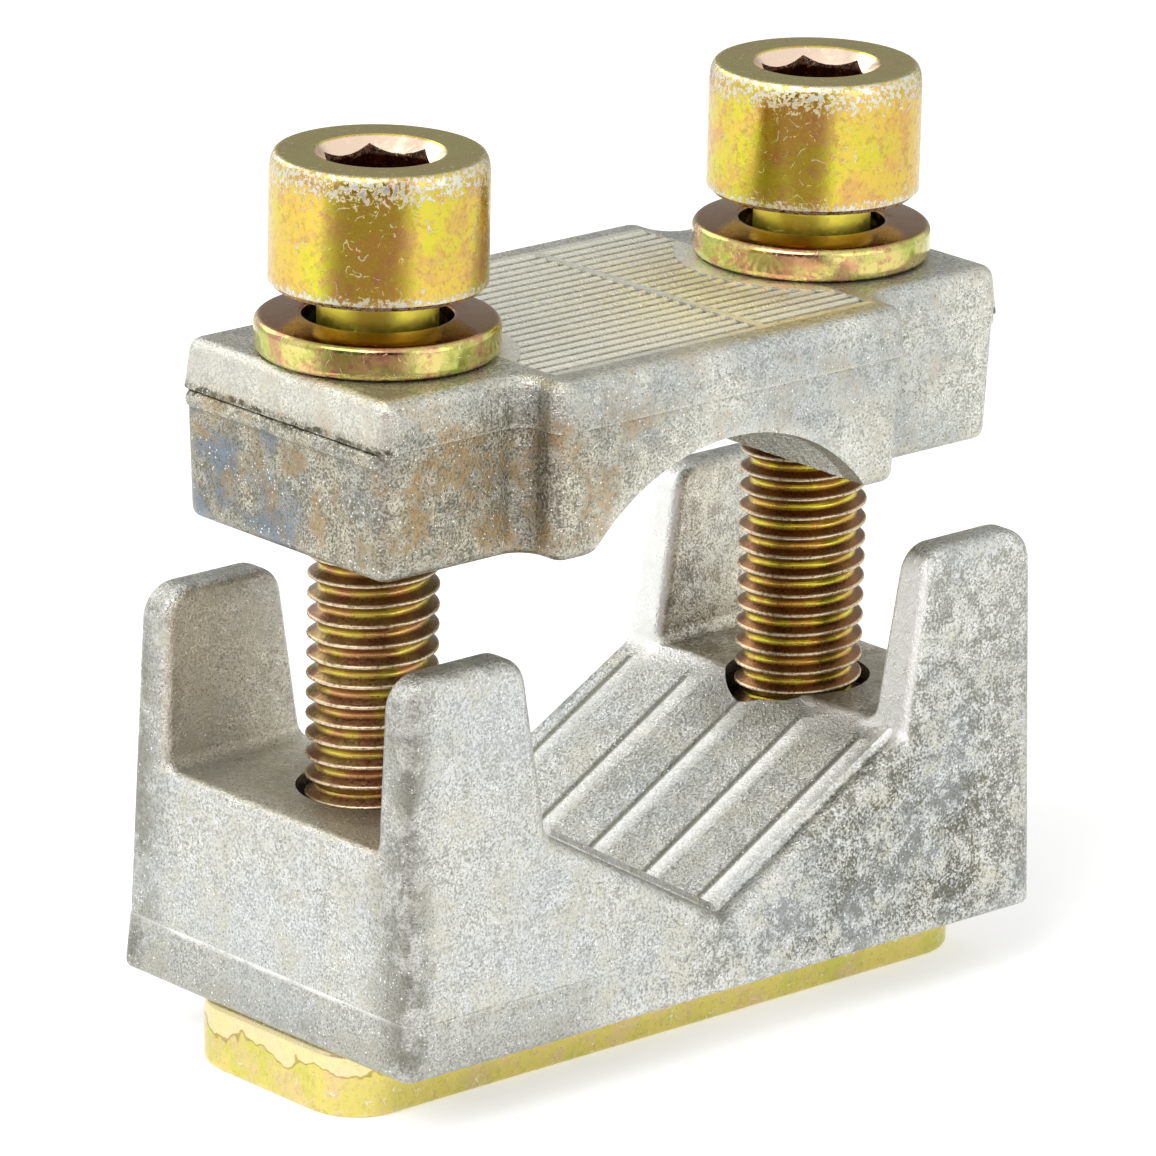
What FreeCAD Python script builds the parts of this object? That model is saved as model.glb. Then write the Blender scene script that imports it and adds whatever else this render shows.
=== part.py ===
import FreeCAD, Part
import math
import os
from FreeCAD import Vector

# Prism clamp: two die-cast jaws drawn together by two socket head screws that
# run into a threaded plate. X runs along the clamp through both screws, Y runs
# along the conductor, Z is up. The origin is the middle of the plate's underside.
# Sizes are millimetres and degrees.

# Screws, size M8
thread_diameter = 7.9
thread_pitch = 1.25
thread_depth = 0.75
thread_crest = 0.16
neck_diameter = 7.2
neck_length = 8.5
head_diameter = 13.0
head_height = 8.0
head_top_rounding = 0.45
head_top_rounding_height = 1.6
head_foot_rounding = 0.3
neck_fillet = 0.4
socket_width = 6.0
socket_depth = 4.2
socket_countersink = 0.45
drill_point_angle = 120.0
tip_chamfer = 0.7
tip_recess = 0.4

# Fits and gaps between the pieces
thread_clearance = 0.05
screw_hole_clearance = 0.55
head_gap = 1.7
plate_end_gap = 0.05
lug_clearance = 0.4
block_clearance = 0.45
block_setback = 0.85

# Conical spring washers
washer_diameter = 14.6
washer_hole = 8.9
washer_thickness = 2.1
washer_crown = 0.25
washer_edge_rounding = 0.5

# Threaded plate
plate_width = 15.7
plate_thickness = 4.25
plate_corner_radius = 3.6
plate_edge_rounding = 0.5

# Lower jaw
jaw_length = 51.2
jaw_width = 26.4
jaw_height = 24.4
screw_setback = 8.15
end_draft = 0.8
face_draft = 1.9
face_edge_rounding = 0.85
slot_edge_rounding = 0.7
foot_rounding = 0.5
skirt_height = 3.4
skirt_end_flare = 0.2
skirt_face_flare = 0.1
skirt_lip = 0.03
skirt_reach = 15.5
shelf_height = 13.35
post_wall = 3.55
slot_draft = 1.2
slot_fillet = 0.8
post_gap = 28.9
post_draft = 9.5
post_foot_fillet = 1.3
post_inner_radius = 2.0
post_outer_radius = 2.2

# Prism seat of the lower jaw
prism_slope = 30.0
prism_root_height = 5.15
prism_root_radius = 0.8
rib_field_width = 23.5
rib_pitch = 5.15
rib_height = 0.45
rib_rise = 1.9
rib_count = 5
middle_groove = 0.65

# Upper jaw
opening = 4.95
lug_end = 7.3
bar_height = 11.0
parting_height = 8.0
parting_step = 0.15
lower_draft = 1.8
upper_draft = 5.0
bar_corner_radius = 1.1
block_corner_share = 0.36
neck_fillet_share = 0.42
top_rounding = 0.9
underside_rounding = 0.7
leg_foot_radius = 1.5
bead_radius = 0.6
bead_proud = 0.35

# Arch under the upper jaw
arch_radius = 14.2
arch_rise = 5.4
serration_pitch = 0.95
serration_depth = 0.35
serration_border = 1.6

# Grip lines on top of the upper jaw
line_pitch = 1.0
line_depth = 0.25
line_border = 2.4
line_end_border = 1.2
field_split = 4.0
field_gap = 0.6
washer_seat_diameter = 16.8

# Levels and places worked out from the sizes above
screw_x = jaw_length / 2 - screw_setback
plate_length = jaw_length - 2 * plate_end_gap
bar_length = 2 * (screw_x + lug_end)
slot_width = jaw_width - 2 * post_wall
bar_width = slot_width - 2 * lug_clearance
block_length = post_gap - 2 * block_clearance
block_width = jaw_width - 2 * block_setback
block_step = (block_width - bar_width) / 2
block_corner_radius = block_step * block_corner_share
block_neck_fillet = block_step * neck_fillet_share
jaw_z = plate_thickness
shelf_z = jaw_z + shelf_height
jaw_top_z = jaw_z + jaw_height
prism_root_z = jaw_z + prism_root_height
seat_root_z = prism_root_z - rib_height / math.cos(math.radians(prism_slope))
upper_z = jaw_top_z + opening
parting_z = upper_z + parting_height
upper_top_z = upper_z + bar_height
washer_top_z = upper_top_z + washer_thickness + washer_crown
head_z = washer_top_z + head_gap
head_top_z = head_z + head_height
hole_radius = thread_diameter / 2 + screw_hole_clearance
plate_hole_radius = thread_diameter / 2 + thread_clearance
far = 2 * jaw_length

X = Vector(1, 0, 0)
Y = Vector(0, 1, 0)
Z = Vector(0, 0, 1)


def tan(angle):
    return math.tan(math.radians(angle))


def rounded_wire(corners, radii):
    """Closed outline through the corners, each one rounded to its own radius."""
    arcs = []
    count = len(corners)
    for place, (corner, radius) in enumerate(zip(corners, radii)):
        before = (corners[place - 1] - corner).normalize()
        after = (corners[(place + 1) % count] - corner).normalize()
        half = before.getAngle(after) / 2
        reach = radius / math.tan(half)
        depth = radius / math.sin(half) - radius
        middle = corner + (before + after).normalize() * depth
        arcs.append((corner + before * reach, middle, corner + after * reach))
    edges = []
    for place, (start, middle, end) in enumerate(arcs):
        if radii[place] > 0:
            edges.append(Part.Arc(start, middle, end).toShape())
        following = arcs[(place + 1) % count][0]
        if (following - end).Length > 1e-6:
            edges.append(Part.LineSegment(end, following).toShape())
    return Part.Wire(Part.__sortEdges__(edges))


def flat_prism(corners, radii, travel):
    """Rounded outline pushed along a straight line."""
    return Part.Face(rounded_wire(corners, radii)).extrude(travel)


def frustum(foot_x, foot_y, bottom, head_x, head_y, top):
    """Block with leaning sides, given its half sizes at the foot and at the head."""
    wedge = Part.makeWedge(-foot_x, bottom, -foot_y, -head_y, -head_x, foot_x, top, foot_y, head_y, head_x)
    return wedge.rotated(Vector(0, 0, 0), X, 90)


def upright_edges(shape, half_length, half_width):
    """The edges that climb the whole height at that distance from the middle."""
    found = []
    for edge in shape.Edges:
        climbs = edge.BoundBox.ZLength > 0.9 * shape.BoundBox.ZLength
        middle = edge.CenterOfMass
        off = abs(abs(middle.x) - half_length) + abs(abs(middle.y) - half_width)
        if climbs and off < block_step / 4:
            found.append(edge)
    return found


def rod(radius, x, bottom, top):
    return Part.makeCylinder(radius, top - bottom, Vector(x, 0, bottom), Z)


def box_between(low, high):
    size = high - low
    return Part.makeBox(size.x, size.y, size.z, low)


def rectangle_wire(half_length, half_width, z, radius):
    corners = [
        Vector(half_length, half_width, z),
        Vector(-half_length, half_width, z),
        Vector(-half_length, -half_width, z),
        Vector(half_length, -half_width, z),
    ]
    return rounded_wire(corners, [radius] * 4)


# Threaded plate: a stamped steel strip with two tapped holes

def make_plate():
    outline = rectangle_wire(plate_length / 2, plate_width / 2, 0, plate_corner_radius)
    strip = Part.Face(outline).extrude(Z * plate_thickness)
    rims = [edge for edge in strip.Edges if edge.BoundBox.ZLength < 1e-6]
    strip = strip.makeFillet(plate_edge_rounding, rims)
    for side in (-1, 1):
        strip = strip.cut(rod(plate_hole_radius, side * screw_x, -far, far))
    return strip


# Lower jaw: a cast block with a prism seat across it and four corner posts

def leaning_block(height, end_flare, face_flare, lip):
    """Block on the jaw's foot whose ends and faces lean in towards the top."""
    foot_x = jaw_length / 2
    foot_y = jaw_width / 2
    head_x = foot_x - height * tan(end_draft)
    head_y = foot_y - height * tan(face_draft)
    return frustum(foot_x + end_flare, foot_y + face_flare, jaw_z, head_x + lip, head_y + lip, jaw_z + height)


def rounded_ends():
    """Front view of the block with its two upper corners rounded, pushed across it."""
    foot = jaw_length / 2
    head = foot - jaw_height * tan(end_draft)
    corners = [
        Vector(-foot, -far, jaw_z),
        Vector(foot, -far, jaw_z),
        Vector(head, -far, jaw_top_z),
        Vector(-head, -far, jaw_top_z),
    ]
    return flat_prism(corners, [0, 0, post_outer_radius, post_outer_radius], Y * 2 * far)


def edges_on(shape, wall_y):
    """Edges that lie on the walls at plus and minus wall_y(z), above the foot."""
    found = []
    for edge in shape.Edges:
        middle = edge.valueAt((edge.FirstParameter + edge.LastParameter) / 2)
        points = [middle] + [vertex.Point for vertex in edge.Vertexes]
        on_wall = all(abs(abs(point.y) - wall_y(point.z)) < 0.02 for point in points)
        if on_wall and middle.z > jaw_z + 0.01:
            found.append(edge)
    return found


def face_y(z):
    return jaw_width / 2 - (z - jaw_z) * tan(face_draft)


def slot_y(z):
    return slot_width / 2 + (z - shelf_z) * tan(slot_draft)


def skirt():
    """Flared strip round the foot of one end, left by the casting die."""
    strip = leaning_block(skirt_height, skirt_end_flare, skirt_face_flare, skirt_lip)
    corners = [edge for edge in strip.Edges if edge.BoundBox.ZLength > skirt_height / 2]
    strip = strip.makeFillet(face_edge_rounding, corners)
    rim = [edge for edge in strip.Edges if edge.BoundBox.ZMax < jaw_z + 0.01]
    strip = strip.makeFillet(foot_rounding, rim)
    return strip.common(box_between(Vector(-far, -far, 0), Vector(skirt_reach - jaw_length / 2, far, far)))


def prism_cut():
    """Cut across the jaw: prism seat below, flaring gap between the posts above."""
    foot = post_gap / 2
    rise = jaw_top_z - shelf_z
    head = foot + rise * tan(post_draft)
    lip = 3 * post_inner_radius
    foot_z = seat_root_z + foot * tan(prism_slope)
    half = [
        (0, seat_root_z, prism_root_radius),
        (foot, foot_z, post_foot_fillet),
        (head, jaw_top_z, post_inner_radius),
        (head + lip, jaw_top_z, 0),
        (head + lip, far, 0),
    ]
    mirrored = [(-x, z, radius) for x, z, radius in reversed(half[1:])]
    section = half + mirrored
    corners = [Vector(x, -far, z) for x, z, radius in section]
    return flat_prism(corners, [radius for x, z, radius in section], Y * 2 * far)


def shelf_slot():
    """Slot along the jaw that leaves the shelves under the screws and parts the posts."""
    above = jaw_top_z + slot_width
    half = [(slot_y(shelf_z), shelf_z, slot_fillet), (slot_y(above), above, 0)]
    section = half + [(-y, z, radius) for y, z, radius in reversed(half)]
    corners = [Vector(-far, y, z) for y, z, radius in section]
    return flat_prism(corners, [radius for y, z, radius in section], X * 2 * far)


def seat_ribs():
    """Saw-tooth ribs that run up the right slope of the prism, each with a short and a long face."""
    reach = rib_field_width / 2
    base = -2 * rib_height
    fall = rib_pitch - rib_rise
    first_groove = middle_groove - (rib_count // 2) * rib_pitch
    section = [(-reach, base), (-reach, 0)]
    for number in range(rib_count):
        groove = first_groove + number * rib_pitch
        section.append((groove - rib_rise, rib_height))
        section.append((groove, 0))
    section.append((reach, rib_height * (reach - groove) / fall))
    section.append((reach, base))
    slope = math.radians(prism_slope)
    along = Vector(math.cos(slope), 0, math.sin(slope))
    normal = Vector(-math.sin(slope), 0, math.cos(slope))
    start = Vector(0, 0, seat_root_z) - along * 3
    points = [start + Y * y + normal * height for y, height in section]
    ribs = Part.Face(Part.makePolygon(points + points[:1])).extrude(along * far)
    under_shelf = box_between(Vector(0, -far, 0), Vector(post_gap / 2 + rib_height, far, shelf_z))
    return ribs.common(under_shelf)


def make_lower_jaw():
    jaw = leaning_block(jaw_height, 0, 0, 0).common(rounded_ends())
    jaw = jaw.cut([prism_cut(), shelf_slot()]).removeSplitter()
    jaw = jaw.makeFillet(face_edge_rounding, edges_on(jaw, face_y))
    jaw = jaw.makeFillet(slot_edge_rounding, edges_on(jaw, slot_y))
    rim = [edge for edge in jaw.Edges if edge.BoundBox.ZMax < jaw_z + 0.01]
    jaw = jaw.makeFillet(foot_rounding, rim)
    ribs = seat_ribs()
    jaw = jaw.fuse([skirt(), ribs, ribs.mirror(Vector(0, 0, 0), X)])
    for side in (-1, 1):
        jaw = jaw.cut(rod(hole_radius, side * screw_x, -far, far))
    return jaw.removeSplitter()


# Upper jaw: a cast pressure piece with a lug for each screw and an arched underside

def cross_block(bottom, foot_inset, top, head_inset):
    """Bar and block crossing in one piece, with leaning sides, rounded corners and filleted necks."""
    parts = []
    for length, width in ((bar_length, bar_width), (block_length, block_width)):
        parts.append(frustum(length / 2 - foot_inset, width / 2 - foot_inset, bottom,
                             length / 2 - head_inset, width / 2 - head_inset, top))
    cross = parts[0].fuse(parts[1]).removeSplitter()
    inset = (foot_inset + head_inset) / 2
    bar_x = bar_length / 2 - inset
    bar_y = bar_width / 2 - inset
    block_x = block_length / 2 - inset
    block_y = block_width / 2 - inset
    cross = cross.makeFillet(block_neck_fillet, upright_edges(cross, block_x, bar_y))
    cross = cross.makeFillet(bar_corner_radius, upright_edges(cross, bar_x, bar_y))
    return cross.makeFillet(block_corner_radius, upright_edges(cross, block_x, block_y))


def upper_body():
    """Two drafted halves that meet at the parting line."""
    lower = cross_block(upper_z, parting_height * tan(lower_draft), parting_z, 0)
    foot_rim = [edge for edge in lower.Edges if edge.BoundBox.ZMax < upper_z + 0.01]
    lower = lower.makeFillet(underside_rounding, foot_rim)
    above = bar_height - parting_height
    upper = cross_block(parting_z, -parting_step, upper_top_z, above * tan(upper_draft) - parting_step)
    top_rim = [edge for edge in upper.Edges if edge.BoundBox.ZMin > upper_top_z - 0.01]
    return lower.fuse(upper.makeFillet(top_rounding, top_rim))


def arch_trim():
    """Block with the arch cut out, whose lips are rounded where they meet the underside."""
    centre_z = upper_z + arch_rise - arch_radius
    chord = math.sqrt(arch_radius ** 2 - (arch_radius - arch_rise) ** 2)
    body = box_between(Vector(-far, -far, upper_z), Vector(far, far, far))
    body = body.cut(Part.makeCylinder(arch_radius, 3 * far, Vector(0, -1.5 * far, centre_z), Y))
    lips = [
        edge for edge in body.Edges
        if abs(abs(edge.CenterOfMass.x) - chord) < 0.01 and abs(edge.CenterOfMass.z - upper_z) < 0.01
    ]
    return body.makeFillet(leg_foot_radius, lips)


def end_beads():
    """Bead along the parting line on both end faces."""
    centre_x = bar_length / 2 + bead_proud - bead_radius
    reach = bar_width / 2 - bar_corner_radius
    beads = []
    for side in (-1, 1):
        place = Vector(side * centre_x, -reach, parting_z - bead_radius)
        bead = Part.makeCylinder(bead_radius, 2 * reach, place, Y)
        for end in (-reach, reach):
            tip = Part.makeSphere(bead_radius, Vector(place.x, end, place.z))
            bead = bead.fuse(tip)
        beads.append(bead)
    return beads


def arch_serrations():
    """Ring grooves round the arch, side by side along the conductor."""
    centre_z = upper_z + arch_rise - arch_radius
    count = int((block_width - 2 * serration_border) / serration_pitch)
    start = -count * serration_pitch / 2
    points = [Vector(0, start, centre_z)]
    for number in range(count):
        y = start + number * serration_pitch
        points.append(Vector(0, y, centre_z + arch_radius))
        points.append(Vector(0, y + serration_pitch / 2, centre_z + arch_radius + serration_depth))
    points.append(Vector(0, -start, centre_z + arch_radius))
    points.append(Vector(0, -start, centre_z))
    profile = Part.Face(Part.makePolygon(points + points[:1]))
    return profile.revolve(Vector(0, 0, centre_z), Y, 360)


def grip_lines():
    """V grooves across the top in two fields, kept clear of the washer seats."""
    reach_x = block_length / 2 - line_end_border
    reach_y = block_width / 2 - line_border
    count = int(2 * reach_y / line_pitch)
    grooves = []
    for low, high in ((-reach_x, field_split - field_gap / 2), (field_split + field_gap / 2, reach_x)):
        for number in range(count + 1):
            y = (number - count / 2) * line_pitch
            corners = [
                Vector(low, y - line_pitch / 2, upper_top_z),
                Vector(low, y, upper_top_z - line_depth),
                Vector(low, y + line_pitch / 2, upper_top_z),
            ]
            groove = Part.Face(Part.makePolygon(corners + corners[:1])).extrude(X * (high - low))
            grooves.append(groove)
    lines = grooves[0].fuse(grooves[1:])
    for side in (-1, 1):
        lines = lines.cut(rod(washer_seat_diameter / 2, side * screw_x, upper_z, far))
    return lines


def make_upper_jaw():
    jaw = upper_body().fuse(end_beads())
    jaw = jaw.common(arch_trim())
    jaw = jaw.cut(arch_serrations())
    jaw = jaw.cut(grip_lines())
    for side in (-1, 1):
        jaw = jaw.cut(rod(hole_radius, side * screw_x, -far, far))
    return jaw


# Screws: socket head cap screws with a plain neck and a thread down to the tip

def thread_grooves(radius, top, bottom):
    """Outline of the ring grooves that stand for the rolled thread, from the neck down."""
    flank = (thread_pitch - thread_crest) / 2
    outline = []
    for number in range(int((top - bottom) / thread_pitch)):
        crest_foot = top - number * thread_pitch - thread_crest
        outline.append((radius, crest_foot))
        outline.append((radius - thread_depth, crest_foot - flank))
        outline.append((radius, crest_foot - 2 * flank))
    return outline


def make_screw(x):
    head = head_diameter / 2
    neck = neck_diameter / 2
    thread = thread_diameter / 2
    tip_z = tip_recess
    thread_top = head_z - neck_length
    full_top = thread_top - (thread - neck)
    full_foot = tip_z + tip_chamfer
    curve = Part.BezierCurve()
    curve.setPoles([
        Vector(x + head - head_top_rounding, 0, head_top_z),
        Vector(x + head, 0, head_top_z - head_top_rounding / 4),
        Vector(x + head, 0, head_top_z - head_top_rounding_height),
    ])
    corners = [
        (head, head_top_z - head_top_rounding_height),
        (head, head_z + head_foot_rounding),
        (head - head_foot_rounding, head_z),
        (neck + neck_fillet, head_z),
        (neck, head_z - neck_fillet),
        (neck, thread_top),
        (thread, full_top),
    ]
    corners += thread_grooves(thread, full_top, full_foot)
    corners += [
        (thread, full_foot),
        (thread - tip_chamfer, tip_z),
        (0, tip_z),
        (0, head_top_z),
        (head - head_top_rounding, head_top_z),
    ]
    points = [Vector(x + radius, 0, height) for radius, height in corners]
    section = Part.Wire([curve.toShape()] + Part.makePolygon(points).Edges)
    screw = Part.Face(section).revolve(Vector(x, 0, 0), Z, 360)
    return screw.cut(socket(x))


def socket(x):
    """Hexagon socket with a drilled bottom and a countersunk mouth."""
    corner = socket_width / 2 / math.cos(math.radians(30))
    floor_z = head_top_z - socket_depth
    ring = [
        Vector(x + corner * math.cos(math.radians(60 * turn)), corner * math.sin(math.radians(60 * turn)), floor_z)
        for turn in range(7)
    ]
    hexagon = Part.Face(Part.makePolygon(ring)).extrude(Z * (socket_depth + head_height))
    drill = socket_width / 2
    point_depth = drill / tan(drill_point_angle / 2)
    point = Part.makeCone(0, drill, point_depth, Vector(x, 0, floor_z - point_depth), Z)
    mouth = corner + socket_countersink
    countersink = Part.makeCone(corner - socket_countersink, mouth, 2 * socket_countersink,
                                Vector(x, 0, head_top_z - 2 * socket_countersink), Z)
    return hexagon.fuse([point, countersink])


# Washers: conical spring washers, high at the hole

def make_washer(x):
    inner = washer_hole / 2
    outer = washer_diameter / 2
    section = [
        Vector(x + inner, 0, upper_top_z + washer_crown),
        Vector(x + outer, 0, upper_top_z),
        Vector(x + outer, 0, upper_top_z + washer_thickness),
        Vector(x + inner, 0, upper_top_z + washer_crown + washer_thickness),
    ]
    rounding = washer_edge_rounding
    outline = rounded_wire(section, [rounding / 2, rounding, rounding, rounding / 2])
    return Part.Face(outline).revolve(Vector(x, 0, 0), Z, 360)


def save(name, shape):
    if not shape.isValid():
        raise RuntimeError(name + " is not a valid solid")
    if len(shape.Solids) != 1:
        raise RuntimeError(name + " is not one solid")
    shape.Solids[0].exportStep("parts/" + name + ".step")
    print(name, round(shape.Volume, 1), len(shape.Faces), shape.BoundBox)


os.makedirs("parts", exist_ok=True)
save("threaded_plate", make_plate())
save("lower_jaw", make_lower_jaw())
save("upper_jaw", make_upper_jaw())
for side_name, side_x in (("left", -screw_x), ("right", screw_x)):
    save("screw_" + side_name, make_screw(side_x))
    save("washer_" + side_name, make_washer(side_x))
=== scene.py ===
import math

import bmesh
import bpy
from mathutils import Matrix, Vector


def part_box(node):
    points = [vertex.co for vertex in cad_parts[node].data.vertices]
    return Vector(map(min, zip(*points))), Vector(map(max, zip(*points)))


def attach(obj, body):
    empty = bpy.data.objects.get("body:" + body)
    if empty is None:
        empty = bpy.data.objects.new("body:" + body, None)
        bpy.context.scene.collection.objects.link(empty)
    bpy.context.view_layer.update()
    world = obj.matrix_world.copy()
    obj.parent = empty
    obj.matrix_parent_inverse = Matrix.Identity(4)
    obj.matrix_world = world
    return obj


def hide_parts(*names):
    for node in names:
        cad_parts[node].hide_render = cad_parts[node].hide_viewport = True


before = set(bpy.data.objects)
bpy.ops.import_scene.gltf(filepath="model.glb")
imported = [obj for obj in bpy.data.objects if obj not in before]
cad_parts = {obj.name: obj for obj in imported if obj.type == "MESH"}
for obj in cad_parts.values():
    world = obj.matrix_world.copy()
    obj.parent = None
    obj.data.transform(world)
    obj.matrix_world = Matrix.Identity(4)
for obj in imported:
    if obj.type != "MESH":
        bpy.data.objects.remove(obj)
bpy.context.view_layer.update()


# Lower jaw. One block of die-cast aluminium alloy, left as it came out of the
# die: pale grey, finely grained all over, painted a little darker in its corners as shade
# and rubbed bright along its edges with a painted highlight. It stands on the threaded plate.

def shade(shell, sharp_angle):
    """Smooth faces, with edges left sharp where they turn by more than the angle in degrees."""
    for face in shell.faces:
        face.smooth = True
    for edge in shell.edges:
        edge.smooth = edge.calc_face_angle(math.pi) < math.radians(sharp_angle)


def settle(shell, name):
    """Turns a finished shell into an object of the scene."""
    mesh = bpy.data.meshes.new(name)
    shell.to_mesh(mesh)
    shell.free()
    made = bpy.data.objects.new(name, mesh)
    bpy.context.scene.collection.objects.link(made)
    return made


def smooth_copy(node_name, piece_name, sharp_angle=34):
    """A merged copy of a solid whose roundings shade smoothly and whose real corners stay sharp."""
    shell = bmesh.new()
    shell.from_mesh(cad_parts[node_name].data)
    bmesh.ops.remove_doubles(shell, verts=shell.verts, dist=1e-7)
    shade(shell, sharp_angle)
    piece = settle(shell, piece_name)
    flats = piece.modifiers.new("flat_faces", "WEIGHTED_NORMAL")
    flats.keep_sharp = True
    return piece


def tone(red, green, blue):
    """A colour given as the eye reads it, from 0 to 255."""
    mixed = []
    for part in (red, green, blue):
        share = part / 255
        mixed.append(share / 12.92 if share <= 0.04045 else ((share + 0.055) / 1.055) ** 2.4)
    return (*mixed, 1.0)


def add(tree, kind, sockets=None, **settings):
    """A node with its settings, its plain values and its incoming links."""
    made = tree.nodes.new(kind)
    for name, value in settings.items():
        setattr(made, name, value)
    for name, value in (sockets or {}).items():
        if isinstance(value, bpy.types.NodeSocket):
            tree.links.new(value, made.inputs[name])
        else:
            made.inputs[name].default_value = value
    return made


def reckon(tree, operation, first, second=0.0):
    made = add(tree, "ShaderNodeMath", {0: first, 1: second}, operation=operation)
    return made.outputs[0]


def plus(tree, first, second):
    return reckon(tree, "ADD", first, second)


def minus(tree, first, second):
    return reckon(tree, "SUBTRACT", first, second)


def times(tree, first, *others):
    for other in others:
        first = reckon(tree, "MULTIPLY", first, other)
    return first


def largest(tree, first, *others):
    for other in others:
        first = reckon(tree, "MAXIMUM", first, other)
    return first


def unsigned(tree, value):
    return reckon(tree, "ABSOLUTE", value)


def spread(tree, value, low, high, bottom=0.0, top=1.0):
    """Stretches the part of a value between low and high over bottom to top."""
    sockets = {"Value": value, "From Min": low, "From Max": high, "To Min": bottom, "To Max": top}
    return add(tree, "ShaderNodeMapRange", sockets, interpolation_type="SMOOTHSTEP").outputs[0]


def lay(tree, share, under, over):
    """One colour laid over another by a mask."""
    made = add(tree, "ShaderNodeMix", {0: share, 6: under, 7: over}, data_type="RGBA")
    return made.outputs[2]


def noise(tree, place, scale, detail, roughness):
    sockets = {"Vector": place, "Scale": scale, "Detail": detail, "Roughness": roughness}
    return add(tree, "ShaderNodeTexNoise", sockets).outputs["Fac"]


def axes(tree, place):
    """The three parts of a place."""
    return add(tree, "ShaderNodeSeparateXYZ", {0: place}).outputs


def length(tree, vector):
    return add(tree, "ShaderNodeVectorMath", {0: vector}, operation="LENGTH").outputs["Value"]


def effect(name, inputs, outputs):
    """An empty shader group with its own input and output nodes."""
    tree = bpy.data.node_groups.new(name, "ShaderNodeTree")
    for socket_name, kind, value in inputs:
        made = tree.interface.new_socket(socket_name, in_out="INPUT", socket_type=kind)
        if value is not None:
            made.default_value = value
    for socket_name, kind in outputs:
        tree.interface.new_socket(socket_name, in_out="OUTPUT", socket_type=kind)
    given = tree.nodes.new("NodeGroupInput")
    result = tree.nodes.new("NodeGroupOutput")
    return tree, given.outputs, result


COLOUR = "NodeSocketColor"
NUMBER = "NodeSocketFloat"
PLACE = "NodeSocketVector"

# Rubbed edges with a painted highlight on them, and painted shade in the corners, told from how near the
# other walls are.
wear_tree, wear_in, wear_out = effect(
    "rubbed and highlit edges, shaded corners",
    [("Place", PLACE, None), ("Edge width", NUMBER, 0.0012), ("Corner width", NUMBER, 0.003)],
    [("Rubbed and highlit", NUMBER), ("Shade and dirt", NUMBER)],
)
inner = add(wear_tree, "ShaderNodeAmbientOcclusion", {"Distance": wear_in["Edge width"]},
            samples=1, inside=True, only_local=True)
outer = add(wear_tree, "ShaderNodeAmbientOcclusion", {"Distance": wear_in["Corner width"]},
            samples=1, only_local=True)
patchy = noise(wear_tree, wear_in["Place"], 1.1, 3.0, 0.65)
edge_share = spread(wear_tree, inner.outputs["AO"], 0.95, 0.45)
corner_share = spread(wear_tree, outer.outputs["AO"], 1.0, 0.3)
rubbed_and_highlit_edges = times(wear_tree, edge_share, spread(wear_tree, patchy, 0.36, 0.6, 0.25, 1.0))
shaded_corners = times(wear_tree, corner_share, spread(wear_tree, patchy, 0.3, 0.6, 0.55, 1.0))
wear_tree.links.new(rubbed_and_highlit_edges, wear_out.inputs["Rubbed and highlit"])
wear_tree.links.new(shaded_corners, wear_out.inputs["Shade and dirt"])

# The skin of the casting: a fine glittering grain, pale specks that are painted glints,
# dark pits, smudges, and stains that lie in speckled clouds.
skin_tree, skin_in, skin_out = effect(
    "casting skin",
    [
        ("Pale", COLOUR, None),
        ("Body", COLOUR, None),
        ("Dark", COLOUR, None),
        ("Warm", COLOUR, None),
        ("Cool", COLOUR, None),
        ("Glint", COLOUR, None),
        ("Edge", COLOUR, None),
        ("Warm share", NUMBER, 0.3),
        ("Cool share", NUMBER, 0.2),
        ("Edge share", NUMBER, 0.5),
        ("Smudge share", NUMBER, 0.3),
        ("Rubbed and highlit", NUMBER, 0.0),
        ("Shade and dirt", NUMBER, 0.0),
        ("Place", PLACE, None),
    ],
    [("Colour", COLOUR), ("Roughness", NUMBER), ("Relief", NUMBER)],
)
spot = skin_in["Place"]
grain = noise(skin_tree, spot, 5.6, 2.0, 0.8)
clumps = noise(skin_tree, spot, 1.0, 4.0, 0.65)
broad = noise(skin_tree, spot, 0.1, 3.0, 0.6)
blotches = noise(skin_tree, spot, 0.36, 4.0, 0.68)
salt = times(skin_tree, minus(skin_tree, grain, 0.5), 0.7)
salted_clumps = plus(skin_tree, clumps, times(skin_tree, salt, 0.6))
salted_blotches = plus(skin_tree, blotches, salt)
salted_broad = plus(skin_tree, broad, salt)
flecks = add(skin_tree, "ShaderNodeTexVoronoi", {"Vector": spot, "Scale": 8.0, "Randomness": 1.0})
fleck_draw = add(skin_tree, "ShaderNodeSeparateColor", {"Color": flecks.outputs["Color"]}).outputs
fleck_reach = spread(skin_tree, fleck_draw[2], 0.0, 1.0, 0.2, 0.5)
fleck_core = reckon(skin_tree, "LESS_THAN", flecks.outputs["Distance"], fleck_reach)
glint = times(skin_tree, spread(skin_tree, fleck_draw[0], 0.91, 0.97), fleck_core)
pore = times(skin_tree, spread(skin_tree, fleck_draw[1], 0.82, 0.94), fleck_core)
mottle = times(skin_tree, plus(skin_tree, salted_clumps, salted_blotches), 0.5)
mottle = minus(skin_tree, mottle, times(skin_tree, skin_in["Smudge share"], 0.08))
smudge = times(skin_tree, spread(skin_tree, mottle, 0.54, 0.34), skin_in["Smudge share"])
cool_level = plus(skin_tree, salted_broad, times(skin_tree, skin_in["Cool share"], 0.06))
cool_mask = times(skin_tree, spread(skin_tree, cool_level, 0.47, 0.6), skin_in["Cool share"])
warm_mask = times(skin_tree, spread(skin_tree, salted_blotches, 0.53, 0.64), skin_in["Warm share"])
body = lay(skin_tree, spread(skin_tree, grain, 0.42, 0.58), skin_in["Body"], skin_in["Pale"])
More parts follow.
